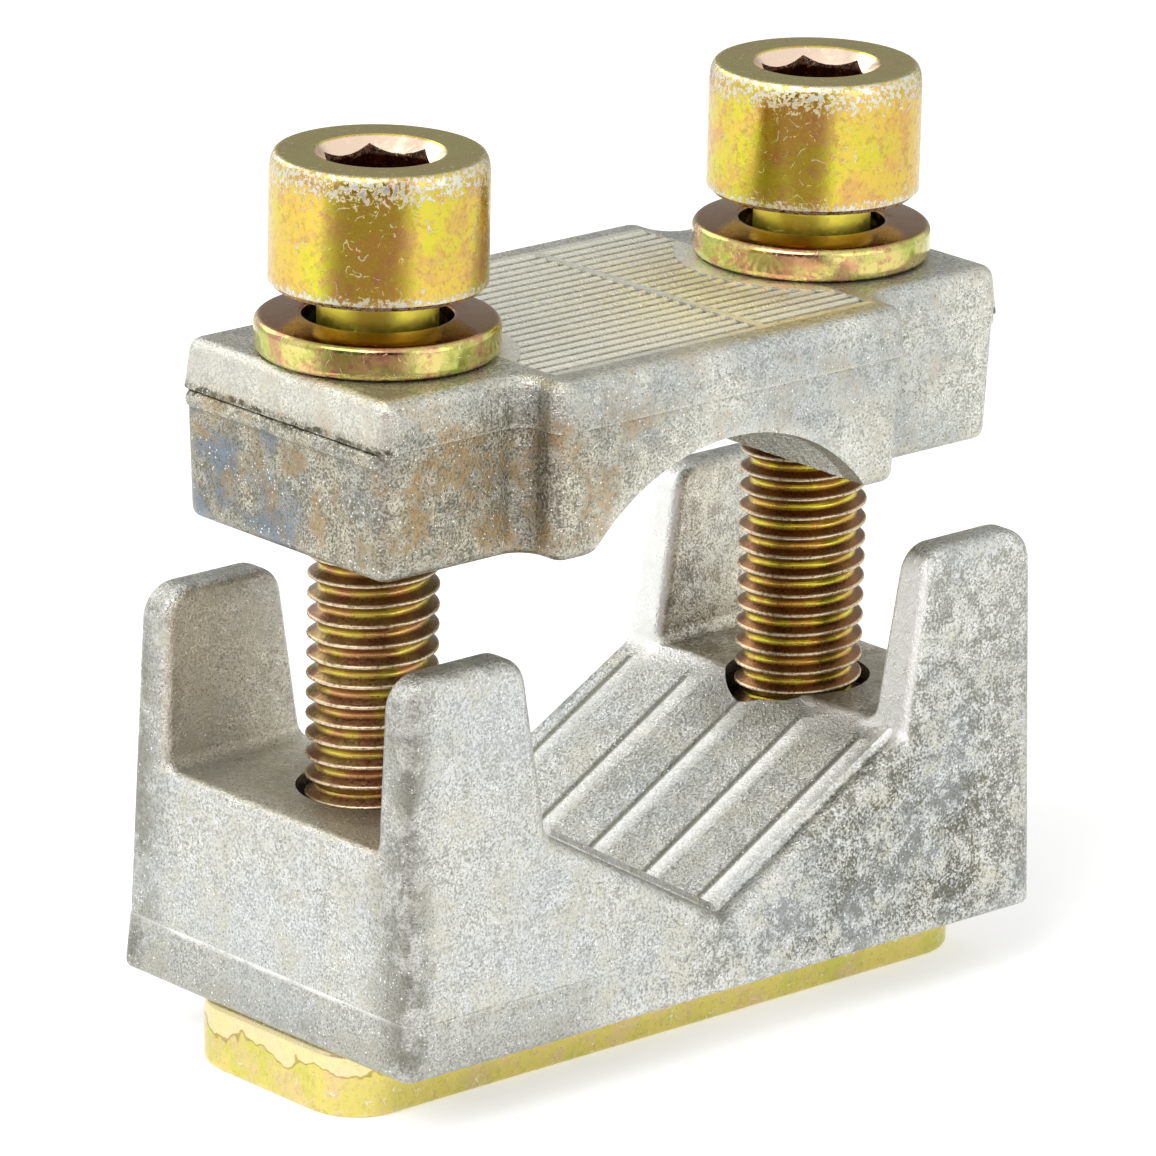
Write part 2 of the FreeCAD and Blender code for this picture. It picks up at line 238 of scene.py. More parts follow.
# The edge colour stands for rubbing and a painted highlight, the dark colour for dirt and painted shade.
for mask, colour_name in (
    (smudge, "Dark"),
    (cool_mask, "Cool"),
    (warm_mask, "Warm"),
    (times(skin_tree, pore, 0.7), "Dark"),
    (times(skin_tree, skin_in["Rubbed and highlit"], skin_in["Edge share"]), "Edge"),
    (times(skin_tree, skin_in["Shade and dirt"], 0.6), "Dark"),
    (times(skin_tree, glint, 0.9), "Glint"),
):
    body = lay(skin_tree, mask, body, skin_in[colour_name])
dull = spread(skin_tree, clumps, 0.35, 0.65, 0.36, 0.26)
dull = minus(skin_tree, dull, times(skin_tree, glint, 0.12))
relief = plus(skin_tree, grain, clumps)
relief = minus(skin_tree, relief, times(skin_tree, pore, 0.25))
relief = plus(skin_tree, relief, times(skin_tree, glint, 0.2))
skin_tree.links.new(body, skin_out.inputs["Colour"])
skin_tree.links.new(dull, skin_out.inputs["Roughness"])
skin_tree.links.new(relief, skin_out.inputs["Relief"])

MM = 0.001


def millimetres(tree, shift=(0, 0, 0)):
    """Object coordinates in millimetres, moved so that the shift, in metres, becomes their middle."""
    where = add(tree, "ShaderNodeTexCoord")
    moved = add(tree, "ShaderNodeMapping", {"Vector": where.outputs["Object"]})
    moved.inputs["Location"].default_value = tuple(-part / MM for part in shift)
    moved.inputs["Scale"].default_value = (1 / MM, 1 / MM, 1 / MM)
    return moved.outputs[0]


def new_metal(name, metallic):
    """A new metal with its tree and its shader."""
    metal = bpy.data.materials.new(name)
    metal.use_nodes = True
    shader = metal.node_tree.nodes["Principled BSDF"]
    shader.inputs["Metallic"].default_value = metallic
    return metal, metal.node_tree, shader


def relief_on(tree, shader, height, depth, strength):
    """Fine relief, with its depth in metres."""
    bump = add(tree, "ShaderNodeBump", {"Height": height, "Distance": depth, "Strength": strength})
    tree.links.new(bump.outputs[0], shader.inputs["Normal"])


def worn_metal(name, metallic, layer_tree, finish, shift, wear_widths):
    """A metal with one of the finishes, whose colours and shares are given by name, and with its wear."""
    metal, tree, shader = new_metal(name, metallic)
    place = millimetres(tree, shift)
    wear = add(tree, "ShaderNodeGroup", {"Place": place, **wear_widths}, node_tree=wear_tree)
    from_wear = {"Rubbed and highlit": wear.outputs["Rubbed and highlit"], "Shade and dirt": wear.outputs["Shade and dirt"]}
    layer = add(tree, "ShaderNodeGroup", {"Place": place, **from_wear, **finish}, node_tree=layer_tree)
    tree.links.new(layer.outputs["Colour"], shader.inputs["Base Color"])
    tree.links.new(layer.outputs["Roughness"], shader.inputs["Roughness"])
    return metal, tree, shader, layer, wear


def casting_metal(name, finish, shift, corner_width):
    """A cast finish, with the nodes of its skin and its wear for what a piece adds to them."""
    metal, tree, shader, skin, wear = worn_metal(
        name, 0.9, skin_tree, finish, shift, {"Edge width": 0.0012, "Corner width": corner_width},
    )
    relief_on(tree, shader, skin.outputs["Relief"], 0.00009, 1.0)
    return metal, tree, skin, wear


lower_finish = {
    "Pale": tone(231, 232, 228),
    "Body": tone(184, 184, 176),
    "Dark": tone(102, 100, 84),
    "Warm": tone(190, 184, 156),
    "Cool": tone(186, 194, 200),
    "Glint": tone(255, 255, 253),
    "Edge": tone(252, 252, 248),
    "Warm share": 0.4,
    "Cool share": 0.3,
    "Edge share": 0.75,
}
lower_metal, lower_tree, lower_skin, lower_wear = casting_metal(
    "lower_casting_metal", lower_finish, shift=(0, 0, 0), corner_width=0.0033,
)

# Heights and places on the casting, in millimetres.
screw_low, screw_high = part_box("screw_right")
screw_axis_x = (screw_low.x + screw_high.x) / 2 / MM
post_top_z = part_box("lower_jaw")[1].z / MM
shelf_z = 17.6
skirt_top_z = 7.65
groove_y = 0.65
rib_pitch = 5.15
seat_half_x = 13.4
seat_half_y = 11.7
post_draft = 0.167

where = millimetres(lower_tree)
x, y, z = axes(lower_tree, where)
off_x = unsigned(lower_tree, x)
off_y = unsigned(lower_tree, y)
# Between its posts the casting is cleaner, with brown dirt.
between = times(
    lower_tree,
    spread(lower_tree, off_y, 10.3, 9.9),
    spread(lower_tree, off_x, 13.9, 14.4),
    spread(lower_tree, z, shelf_z - 0.3, shelf_z - 0.1),
)
for colour_name, cleaner in (
    ("Pale", tone(252, 250, 238)),
    ("Body", tone(220, 216, 198)),
    ("Dark", tone(122, 108, 78)),
):
    mixed = lay(lower_tree, between, lower_finish[colour_name], cleaner)
    lower_tree.links.new(mixed, lower_skin.inputs[colour_name])
# The mottled dark patches lie mostly low on the right of the block, and hardly on the seat.
seat = times(
    lower_tree,
    reckon(lower_tree, "LESS_THAN", off_x, seat_half_x),
    reckon(lower_tree, "LESS_THAN", off_y, seat_half_y),
)
low_right_share = times(
    lower_tree,
    spread(lower_tree, x, -8.0, 14.0, 0.25, 1.0),
    spread(lower_tree, z, 32.0, 9.0, 0.25, 1.0),
    spread(lower_tree, x, -12.0, -4.0),
    spread(lower_tree, x, 25.0, 17.0, 0.6, 1.0),
    spread(lower_tree, seat, 0.0, 1.0, 0.78, 0.12),
)
lower_tree.links.new(plus(lower_tree, low_right_share, 0.3), lower_skin.inputs["Smudge share"])
# The skirt is painted darker towards the left end, as a dark reflection.
left_part = spread(lower_tree, x, -9.0, -13.0)
skirt_dark_reflection = plus(lower_tree, spread(lower_tree, z, skirt_top_z + 0.15, skirt_top_z - 0.35, 0.0, 0.4),
                  spread(lower_tree, z, 6.6, 4.3, 0.0, 0.35))
skirt_dark_reflection = times(lower_tree, skirt_dark_reflection, left_part)
# The upright corners are painted grey as a dark reflection, and the tops of the posts as shade.
upright = times(lower_tree, spread(lower_tree, off_x, 22.9, 25.3), spread(lower_tree, off_y, 8.0, 12.8))
post_top = spread(lower_tree, z, post_top_z - 1.35, post_top_z - 0.15, 0.0, 0.6)
cloud = spread(lower_tree, noise(lower_tree, where, 0.45, 3.0, 0.7), 0.38, 0.56, 0.35, 1.0)
corner_and_top_shade = times(
    lower_tree,
    largest(lower_tree, upright, post_top),
    spread(lower_tree, left_part, 0.0, 1.0, 0.4, 1.25),
    cloud,
)
# The ribs of the seat: painted pale on their short faces as a highlight, and dark in their grooves and on the
# far slope as shade.
turn = reckon(lower_tree, "DIVIDE", minus(lower_tree, y, groove_y), rib_pitch)
turn = reckon(lower_tree, "FRACT", turn)
near = spread(lower_tree, y, 12.0, -10.0, 0.5, 1.35)
short_face_highlight = times(lower_tree, spread(lower_tree, turn, 0.6, 0.95), near, seat)
groove_shade = reckon(lower_tree, "PINGPONG", turn, 0.5)
groove_shade = times(lower_tree, spread(lower_tree, groove_shade, 0.08, 0.02, 0.0, 1.4), seat)
far_slope_shade = times(lower_tree, spread(lower_tree, x, -0.1, -0.5, 0.0, 0.9), seat)
# The two shelves are darker round the screws.
from_axis = add(lower_tree, "ShaderNodeCombineXYZ", {0: minus(lower_tree, off_x, screw_axis_x), 1: y})
from_axis = length(lower_tree, from_axis.outputs[0])
ring = times(lower_tree, spread(lower_tree, from_axis, 8.5, 4.6, 0.0, 0.85),
             reckon(lower_tree, "GREATER_THAN", z, shelf_z - 2.6))
# Painted shade and dirt are laid as one dark mask.
shade_and_dirt = largest(lower_tree, lower_wear.outputs["Shade and dirt"], skirt_dark_reflection, ring, corner_and_top_shade,
               largest(lower_tree, groove_shade, far_slope_shade))
lower_tree.links.new(shade_and_dirt, lower_skin.inputs["Shade and dirt"])
# The flanks of the posts are painted bright as a reflection.
lean = minus(lower_tree, off_x, times(lower_tree, z, post_draft))
flank_reflection = times(lower_tree, spread(lower_tree, lean, 12.1, 11.7),
              spread(lower_tree, z, shelf_z - 1.1, shelf_z - 0.1))
# The lip of the skirt catches the light on the left end.
skirt_lip = unsigned(lower_tree, minus(lower_tree, z, skirt_top_z + 0.07))
skirt_lip = times(
    lower_tree,
    spread(lower_tree, skirt_lip, 0.16, 0.05),
    cloud,
    spread(lower_tree, x, -24.8, -25.1),
)
# The painted highlights on the ribs, flanks and skirt lip join the rubbed edges.
highlit_and_rubbed = largest(lower_tree, short_face_highlight, times(lower_tree, flank_reflection, 1.2), times(lower_tree, skirt_lip, 1.3))
highlit_and_rubbed = largest(lower_tree, lower_wear.outputs["Rubbed and highlit"], highlit_and_rubbed)
lower_tree.links.new(highlit_and_rubbed, lower_skin.inputs["Rubbed and highlit"])
lower_jaw = smooth_copy("lower_jaw", "lower_casting", sharp_angle=19)
lower_jaw.data.materials.append(lower_metal)
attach(lower_jaw, "lower_jaw")
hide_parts("lower_jaw")


# Upper jaw. The second casting, a bar with a wide cross block and an arch
# below. It has lain longer in the air: cream, steel-blue and brown in patches,
# with painted shade in its grip lines and a ragged fold along the parting line.

upper_finish = {
    "Pale": tone(234, 235, 226),
    "Body": tone(188, 188, 176),
    "Dark": tone(80, 76, 58),
    "Warm": tone(156, 124, 70),
    "Cool": tone(118, 134, 150),
    "Glint": tone(255, 254, 246),
    "Edge": tone(242, 240, 226),
    "Warm share": 0.5,
    "Cool share": 0.4,
    "Edge share": 0.8,
}
upper_metal, upper_tree, upper_skin, upper_wear = casting_metal(
    "upper_casting_metal", upper_finish, shift=(0.031, 0.017, 0.009), corner_width=0.005,
)

# Heights and places on the casting, in millimetres.
top_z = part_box("upper_jaw")[1].z / MM
parting_z = 41.6
end_face_x = 24.0

where = millimetres(upper_tree)
x, y, z = axes(upper_tree, where)
off_x = unsigned(upper_tree, x)
off_y = unsigned(upper_tree, y)
# The grip lines are painted dark in their roots as shade, and the crests between them are rubbed.
field = times(upper_tree, spread(upper_tree, off_x, 12.9, 12.7), spread(upper_tree, off_y, 10.6, 10.4))
line_depth = spread(upper_tree, z, top_z - 0.08, top_z - 0.22)
line_floor = times(upper_tree, reckon(upper_tree, "GREATER_THAN", z, top_z - 0.4), line_depth)
grip_line_shade = times(upper_tree, field, times(upper_tree, line_floor, 0.6))
crest = times(upper_tree, field, reckon(upper_tree, "GREATER_THAN", z, top_z - 0.3),
              spread(upper_tree, line_depth, 0.7, 0.3))
# The fold is a ragged dark line on each end face, with a rubbed band above it.
end_face = spread(upper_tree, off_x, end_face_x, end_face_x + 0.2)
ripple = noise(upper_tree, where, 0.4, 3.0, 0.6)
fold_z = spread(upper_tree, ripple, 0.35, 0.65, parting_z - 0.15, parting_z + 0.25)
fold_gap = unsigned(upper_tree, minus(upper_tree, z, fold_z))
broken = spread(upper_tree, noise(upper_tree, where, 1.6, 2.0, 0.7), 0.4, 0.55, 0.3, 1.5)
fold = times(upper_tree, spread(upper_tree, fold_gap, 0.27, 0.12), times(upper_tree, broken, end_face))
above_fold = times(upper_tree, spread(upper_tree, z, parting_z + 0.2, parting_z + 0.6, 0.0, 0.45), end_face)
# Painted shade in the corners and grip lines and the fold are laid as one dark mask.
shade_and_dirt = largest(upper_tree, times(upper_tree, upper_wear.outputs["Shade and dirt"], 1.35), grip_line_shade, fold)
highlit_and_rubbed = largest(upper_tree, upper_wear.outputs["Rubbed and highlit"], largest(upper_tree, crest, above_fold))
upper_tree.links.new(shade_and_dirt, upper_skin.inputs["Shade and dirt"])
upper_tree.links.new(highlit_and_rubbed, upper_skin.inputs["Rubbed and highlit"])
# The left end has tarnished most.
tarnish = times(upper_tree, spread(upper_tree, x, 2.0, -18.0),
                spread(upper_tree, z, parting_z + 1.8, parting_z - 0.2, 0.3, 1.0))
for colour_name, tarnished in (
    ("Body", tone(150, 145, 126)),
    ("Pale", tone(216, 211, 192)),
):
    mixed = lay(upper_tree, tarnish, upper_finish[colour_name], tarnished)
    upper_tree.links.new(mixed, upper_skin.inputs[colour_name])
steel_blue = times(
    upper_tree,
    spread(upper_tree, x, -23.5, -24.2),
    spread(upper_tree, y, -4.0, 3.0),
    spread(upper_tree, z, parting_z - 0.2, parting_z - 1.2),
)
for share_name, mask, least, most in (
    ("Smudge share", tarnish, 0.35, 0.6),
    ("Warm share", tarnish, 0.3, 0.75),
    ("Cool share", steel_blue, 0.35, 1.6),
):
    upper_tree.links.new(spread(upper_tree, mask, 0.0, 1.0, least, most), upper_skin.inputs[share_name])
upper_jaw = smooth_copy("upper_jaw", "upper_casting", sharp_angle=19)
upper_jaw.data.materials.append(upper_metal)
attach(upper_jaw, "upper_jaw")
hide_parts("upper_jaw")


# Threaded plate. Stamped steel strip under the lower jaw, zinc plated and
# passivated yellow, with its two tapped holes.

plating_tree, plating_in, plating_out = effect(
    "yellow plating",
    [
        ("Gold", COLOUR, None),
        ("Green", COLOUR, None),
        ("Rose", COLOUR, None),
        ("Stain", COLOUR, None),
        ("Worn", COLOUR, None),
        ("Rose share", NUMBER, 0.3),
        ("Stain share", NUMBER, 0.3),
        ("Dullness", NUMBER, 0.2),
        ("Flaking", NUMBER, 0.0),
        ("Rubbed and highlit", NUMBER, 0.0),
        ("Shade and dirt", NUMBER, 0.0),
        ("Place", PLACE, None),
    ],
    [("Colour", COLOUR), ("Roughness", NUMBER), ("Relief", NUMBER)],
)
spot = plating_in["Place"]
drift = noise(plating_tree, spot, 0.26, 3.0, 0.6)
veil = noise(plating_tree, spot, 0.5, 4.0, 0.6)
fine = noise(plating_tree, spot, 2.4, 5.0, 0.7)
threads = noise(plating_tree, spot, 0.7, 1.0, 0.5)
chips = noise(plating_tree, spot, 3.2, 5.0, 0.7)
salt = times(plating_tree, minus(plating_tree, fine, 0.5), 0.4)
green_mask = spread(plating_tree, plus(plating_tree, drift, salt), 0.42, 0.6)
rose_mask = times(plating_tree, spread(plating_tree, plus(plating_tree, veil, salt), 0.46, 0.62),
                  plating_in["Rose share"])
stain_mask = times(plating_tree, spread(plating_tree, fine, 0.5, 0.66), plating_in["Stain share"])
# Painted shade darkens the corners in the stain colour.
corner_shade_mask = times(plating_tree, plating_in["Shade and dirt"], 0.7)
# Bare metal shows in scratches, and in chips that grow where the piece is worn and where its edges carry a
# painted highlight.
hair = unsigned(plating_tree, minus(plating_tree, threads, 0.5))
scratch = times(plating_tree, spread(plating_tree, hair, 0.008, 0.003), spread(plating_tree, fine, 0.5, 0.56))
worn_and_highlit = plus(plating_tree, plating_in["Flaking"], plating_in["Rubbed and highlit"])
flake_level = plus(plating_tree, chips, times(plating_tree, worn_and_highlit, 0.2))
flake = spread(plating_tree, flake_level, 0.66, 0.75)
bare = largest(plating_tree, times(plating_tree, scratch, 0.75), flake)
colour = plating_in["Gold"]
for mask, colour_name in (
    (green_mask, "Green"),
    (rose_mask, "Rose"),
    (stain_mask, "Stain"),
    (corner_shade_mask, "Stain"),
    (bare, "Worn"),
):
    colour = lay(plating_tree, mask, colour, plating_in[colour_name])
gloss = plus(plating_tree, spread(plating_tree, fine, 0.3, 0.7, 0.0, 0.12), plating_in["Dullness"])
gloss = plus(plating_tree, gloss, times(plating_tree, bare, 0.16))
relief = minus(plating_tree, times(plating_tree, veil, 0.5), times(plating_tree, bare, 0.3))
relief = plus(plating_tree, relief, times(plating_tree, fine, 0.2))
plating_tree.links.new(colour, plating_out.inputs["Colour"])
plating_tree.links.new(gloss, plating_out.inputs["Roughness"])
plating_tree.links.new(relief, plating_out.inputs["Relief"])


def plated_metal(name, finish, shift, edge_width=0.0008):
    """A plated finish, with the node of its plating and its shader for what a piece adds to them."""
    metal, tree, shader, plating = worn_metal(
        name, 1.0, plating_tree, finish, shift, {"Edge width": edge_width},
    )[:4]
    relief_on(tree, shader, plating.outputs["Relief"], 0.00006, 0.6)
    return metal, tree, plating, shader


plate_finish = {
    "Gold": tone(214, 200, 112),
    "Green": tone(200, 194, 100),
    "Rose": tone(218, 184, 160),
    "Stain": tone(174, 152, 78),
    "Worn": tone(236, 230, 216),
    "Rose share": 0.45,
    "Stain share": 0.3,
    "Dullness": 0.18,
}
plate_metal, plate_tree, plate_plating, plate_shader = plated_metal(
    "plate_metal", plate_finish, shift=(0.013, 0.007, 0.0),
)
# The stamping broke off along a wavy line, pale above it and with a darker edge.
where = millimetres(plate_tree)
height = axes(plate_tree, where)["Z"]
break_z = spread(plate_tree, noise(plate_tree, where, 0.35, 3.0, 0.55), 0.25, 0.75, 1.9, 3.5)
above_break = minus(plate_tree, height, break_z)
colour = lay(plate_tree, spread(plate_tree, above_break, -0.02, 0.12, 0.0, 0.55),
             plate_plating.outputs["Colour"], tone(236, 222, 184))
break_line = spread(plate_tree, unsigned(plate_tree, above_break), 0.16, 0.03, 0.0, 0.6)
colour = lay(plate_tree, break_line, colour, tone(146, 122, 62))
plate_tree.links.new(colour, plate_shader.inputs["Base Color"])
plate = smooth_copy("threaded_plate", "stamped_plate")
plate.data.materials.append(plate_metal)
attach(plate, "plate")
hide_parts("threaded_plate")


# Spring washers. Two thick conical washers of plated spring steel, red-brown on
# top with painted shade, and rubbed to gold round the rim with a painted highlight.
# They lie loose on the upper jaw.

washer_finish = {
    "Gold": tone(216, 200, 124),
    "Green": tone(178, 184, 92),
    "Rose": tone(196, 128, 112),
    "Stain": tone(158, 116, 76),
    "Worn": tone(240, 230, 196),
    "Rose share": 0.7,
    "Stain share": 0.35,
    "Dullness": 0.08,
}
washer_metal, washer_tree, washer_plating, washer_shader = plated_metal(
    "washer_metal", washer_finish, shift=(0.021, 0.003, 0.005), edge_width=0.0007,
)
# The upper face is painted a darker red-brown: its own tint, with painted shade from the head above it.
upper_face_z = 46.55
height = axes(washer_tree, millimetres(washer_tree))["Z"]
upper_face_tint_and_shade = spread(washer_tree, height, upper_face_z, upper_face_z + 0.2, 0.0, 0.85)
colour = lay(washer_tree, upper_face_tint_and_shade, washer_plating.outputs["Colour"], tone(138, 84, 54))
washer_tree.links.new(colour, washer_shader.inputs["Base Color"])
for side in ("left", "right"):
    washer = smooth_copy("washer_" + side, "spring_washer_" + side)
    washer.data.materials.append(washer_metal)
    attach(washer, "upper_jaw")
    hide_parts("washer_" + side)


# Screws. M8 socket head screws, cold headed and rolled, then zinc plated and
# passivated yellow. Head and neck keep the solid's form, and the thread is a
# true helix of 1.25 pitch that runs through the plate.

neck_foot_z = 40.15 * MM
screw_tip_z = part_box("screw_left")[0].z
pitch = 1.25 * MM
steps_per_turn = 44
overlap = 0.02 * MM
# Radius and height along one turn, from one crest to the next, in millimetres.
thread_form = [
    (3.95, -0.045), (3.95, 0.045), (3.89, 0.1), (3.33, 0.43), (3.25, 0.52),
    (3.22, 0.6), (3.25, 0.68), (3.33, 0.77), (3.89, 1.15), (3.95, 1.205),
]

head_finish = {
    "Gold": tone(216, 186, 84),
    "Green": tone(206, 196, 66),
    "Rose": tone(204, 146, 104),
    "Stain": tone(156, 124, 70),
    "Worn": tone(218, 216, 204),
    "Rose share": 0.55,
    "Stain share": 0.35,
    "Dullness": 0.17,
}
head_metal, head_tree, head_plating, head_shader = plated_metal(
    "head_metal", head_finish, shift=(0.005, 0.011, 0.007),
)

# Heights on the head and radii in its socket, in millimetres.
head_top_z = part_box("screw_left")[1].z / MM
head_foot_z = head_top_z - 8.0
countersink_z = head_top_z - 1.15
countersink_radius = 3.84
socket_radius = 3.55

x, y, z = axes(head_tree, millimetres(head_tree))
off_axis = minus(head_tree, unsigned(head_tree, x), screw_axis_x)
radius = plus(head_tree, times(head_tree, off_axis, off_axis), times(head_tree, y, y))
radius = reckon(head_tree, "SQRT", radius)
# The plating has flaked where the key slips off the upper rim and at the foot.
outside = spread(head_tree, radius, 5.9, 6.05)
rim_band = times(head_tree, spread(head_tree, z, head_top_z - 2.75, head_top_z - 0.75), outside)
foot_band = times(head_tree, spread(head_tree, z, head_foot_z + 1.35, head_foot_z + 0.35), outside)
head_tree.links.new(largest(head_tree, rim_band, foot_band), head_plating.inputs["Flaking"])
# The neck below the head is duller and a brighter yellow.
dullness = spread(head_tree, z, head_foot_z - 0.15, head_foot_z + 0.05, 0.3, 0.17)
head_tree.links.new(dullness, head_plating.inputs["Dullness"])
# The top face is laid a darker olive: its own tint, with a painted dark reflection.
top_tint_and_reflection = spread(head_tree, z, head_top_z - 0.07, head_top_z - 0.03, 0.0, 0.7)
neck = spread(head_tree, z, head_foot_z + 0.05, head_foot_z - 0.15, 0.0, 0.9)
# In the socket the countersink is painted pale as a highlight and the six walls are painted red-brown as
# shade.
mouth_highlight = times(head_tree, spread(head_tree, radius, countersink_radius, countersink_radius - 0.06),
              spread(head_tree, z, countersink_z, countersink_z + 0.16))
socket_shade = times(head_tree, spread(head_tree, radius, socket_radius, socket_radius - 0.05),
              spread(head_tree, z, countersink_z + 0.16, countersink_z))
colour = head_plating.outputs["Colour"]
for mask, over in (
    (top_tint_and_reflection, tone(176, 166, 96)),
    (neck, tone(246, 238, 96)),
    (mouth_highlight, tone(240, 214, 190)),
    (socket_shade, tone(128, 72, 44)),
):
    colour = lay(head_tree, mask, colour, over)
head_tree.links.new(colour, head_shader.inputs["Base Color"])


def thread_metal(name, axis_x, root_highlight, root_highlight_tint, flank_reflection, flank_reflection_tint):
    """Plating on the thread: painted bright in the roots as a highlight, dark on the flanks as a painted dark
    reflection, thinly rubbed on the crests.
    """
    metal, tree, shader = new_metal(name, 1.0)
    place = millimetres(tree, (axis_x, 0, 0))
    flat = add(tree, "ShaderNodeVectorMath", {0: place, 1: (1, 1, 0)}, operation="MULTIPLY")
    radius = length(tree, flat.outputs[0])
    veil = noise(tree, place, 0.5, 4.0, 0.6)
    fine = noise(tree, place, 4.0, 3.0, 0.6)
    root_highlight_colour = lay(tree, spread(tree, veil, 0.4, 0.6), root_highlight, root_highlight_tint)
    flank_reflection_colour = lay(tree, spread(tree, veil, 0.42, 0.6), flank_reflection, flank_reflection_tint)
    colour = lay(tree, spread(tree, radius, 3.26, 3.42), root_highlight_colour, flank_reflection_colour)
    crest = times(tree, spread(tree, radius, 3.8, 3.92), spread(tree, fine, 0.3, 0.6, 0.4, 1.0))
    colour = lay(tree, crest, colour, tone(228, 208, 176))
    tree.links.new(colour, shader.inputs["Base Color"])
    tree.links.new(spread(tree, fine, 0.3, 0.7, 0.24, 0.42), shader.inputs["Roughness"])
    relief_on(tree, shader, fine, 0.00005, 0.5)
    return metal


def cut_level(shell, level, clear_above):
    """Cuts a shell level at a height, clears one side of the cut and closes it."""
    cut = bmesh.ops.bisect_plane(
        shell, geom=shell.verts[:] + shell.edges[:] + shell.faces[:], dist=1e-8,
        plane_co=(0, 0, level), plane_no=(0, 0, 1),
        clear_outer=clear_above, clear_inner=not clear_above,
    )
    rim = [item for item in cut["geom_cut"] if isinstance(item, bmesh.types.BMEdge)]
    bmesh.ops.edgeloop_fill(shell, edges=rim)


def rolled_thread(piece_name, axis_x):
    """One turn swept round the shank, stacked to full length, cut level at the neck and at the tip."""
    shell = bmesh.new()
    chain = [shell.verts.new((radius * MM, 0, height * MM)) for radius, height in thread_form]
    outline = [shell.edges.new(pair) for pair in zip(chain, chain[1:])]
    start_z = screw_tip_z - 2 * pitch
    bmesh.ops.translate(shell, verts=shell.verts, vec=(0, 0, start_z))
    bmesh.ops.spin(
        shell, geom=chain + outline, cent=(0, 0, 0), axis=(0, 0, 1), dvec=(0, 0, pitch / steps_per_turn),
        angle=math.tau, steps=steps_per_turn, use_merge=False, use_duplicate=False,
    )
    one_turn = shell.verts[:] + shell.edges[:] + shell.faces[:]
    for turn in range(1, math.ceil((neck_foot_z - start_z) / pitch) + 1):
        copy = bmesh.ops.duplicate(shell, geom=one_turn)["geom"]
        points = [item for item in copy if isinstance(item, bmesh.types.BMVert)]
        bmesh.ops.translate(shell, verts=points, vec=(0, 0, turn * pitch))
    bmesh.ops.remove_doubles(shell, verts=shell.verts, dist=1e-6)
    cut_level(shell, screw_tip_z, clear_above=False)
    cut_level(shell, neck_foot_z, clear_above=True)
    bmesh.ops.translate(shell, verts=shell.verts, vec=(axis_x, 0, 0))
    bmesh.ops.recalc_face_normals(shell, faces=shell.faces)
    shade(shell, sharp_angle=50)
    return settle(shell, piece_name)


# For each side: the painted highlight in the roots and its tint, then the painted dark reflection on the
# flanks and its tint.
thread_colours = {
    "left": (tone(216, 200, 96), tone(206, 160, 112), tone(142, 118, 74), tone(130, 92, 66)),
    "right": (tone(222, 210, 84), tone(214, 176, 92), tone(122, 84, 52), tone(134, 96, 56)),
}
for side in ("left", "right"):
    node_name = "screw_" + side
    low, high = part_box(node_name)
    axis_x = (low.x + high.x) / 2
    head = smooth_copy(node_name, "screw_head_" + side)
    shell = bmesh.new()
    shell.from_mesh(head.data)
    cut_level(shell, neck_foot_z - overlap, clear_above=False)
    shell.to_mesh(head.data)
    shell.free()
    head.data.materials.append(head_metal)
    thread = rolled_thread("screw_thread_" + side, axis_x)
    thread.data.materials.append(thread_metal("thread_metal_" + side, axis_x, *thread_colours[side]))
    for piece in (head, thread):
        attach(piece, node_name)
        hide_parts(node_name)


# Studio. A pale floor, a white room for the camera and the reflections, two
# soft lamps with a weaker one behind, and the lens of the photograph.

floor_shell = bmesh.new()
bmesh.ops.create_circle(floor_shell, cap_ends=True, segments=96, radius=4.0)
floor = settle(floor_shell, "floor")
floor_paint = bpy.data.materials.new("floor_paint")
floor_paint.use_nodes = True
floor_tree = floor_paint.node_tree
floor_tree.nodes.remove(floor_tree.nodes["Principled BSDF"])
matt = add(floor_tree, "ShaderNodeBsdfDiffuse", {"Color": (0.86, 0.86, 0.86, 1)})
ray = add(floor_tree, "ShaderNodeLightPath").outputs
seen = plus(floor_tree, ray["Is Camera Ray"], ray["Is Glossy Ray"])
glow = add(floor_tree, "ShaderNodeEmission", {"Strength": times(floor_tree, seen, 0.45)})
both = add(floor_tree, "ShaderNodeAddShader", {0: matt.outputs[0], 1: glow.outputs[0]})
floor_tree.links.new(both.outputs[0], floor_tree.nodes["Material Output"].inputs["Surface"])
floor.data.materials.append(floor_paint)

room = bpy.data.worlds.new("room")
bpy.context.scene.world = room
room.use_nodes = True
room_tree = room.node_tree
ray = add(room_tree, "ShaderNodeLightPath").outputs
seen = plus(room_tree, ray["Is Camera Ray"], ray["Is Glossy Ray"])
seen = plus(room_tree, seen, ray["Is Transmission Ray"])
strength = add(room_tree, "ShaderNodeMapRange", {"Value": seen, "To Min": 0.42, "To Max": 1.0})
background = room_tree.nodes["Background"]
background.inputs["Color"].default_value = (1, 1, 1, 1)
room_tree.links.new(strength.outputs[0], background.inputs["Strength"])


def away(azimuth, elevation):
    """The direction from the clamp to where it is seen or lit from, given in degrees."""
    turn, rise = math.radians(azimuth), math.radians(elevation)
    return Vector((math.sin(turn) * math.cos(rise), -math.cos(turn) * math.cos(rise), math.sin(rise)))


def soft_lamp(name, azimuth, elevation, distance, size, watts):
    """A square soft box aimed at the middle of the clamp."""
    lamp = bpy.data.lights.new(name, "AREA")
    lamp.size = size
    lamp.energy = watts
    box = bpy.data.objects.new(name, lamp)
    bpy.context.scene.collection.objects.link(box)
    outward = away(azimuth, elevation)
    box.location = Vector((0, 0, 0.03)) + outward * distance
    box.rotation_euler = outward.to_track_quat("Z", "Y").to_euler()


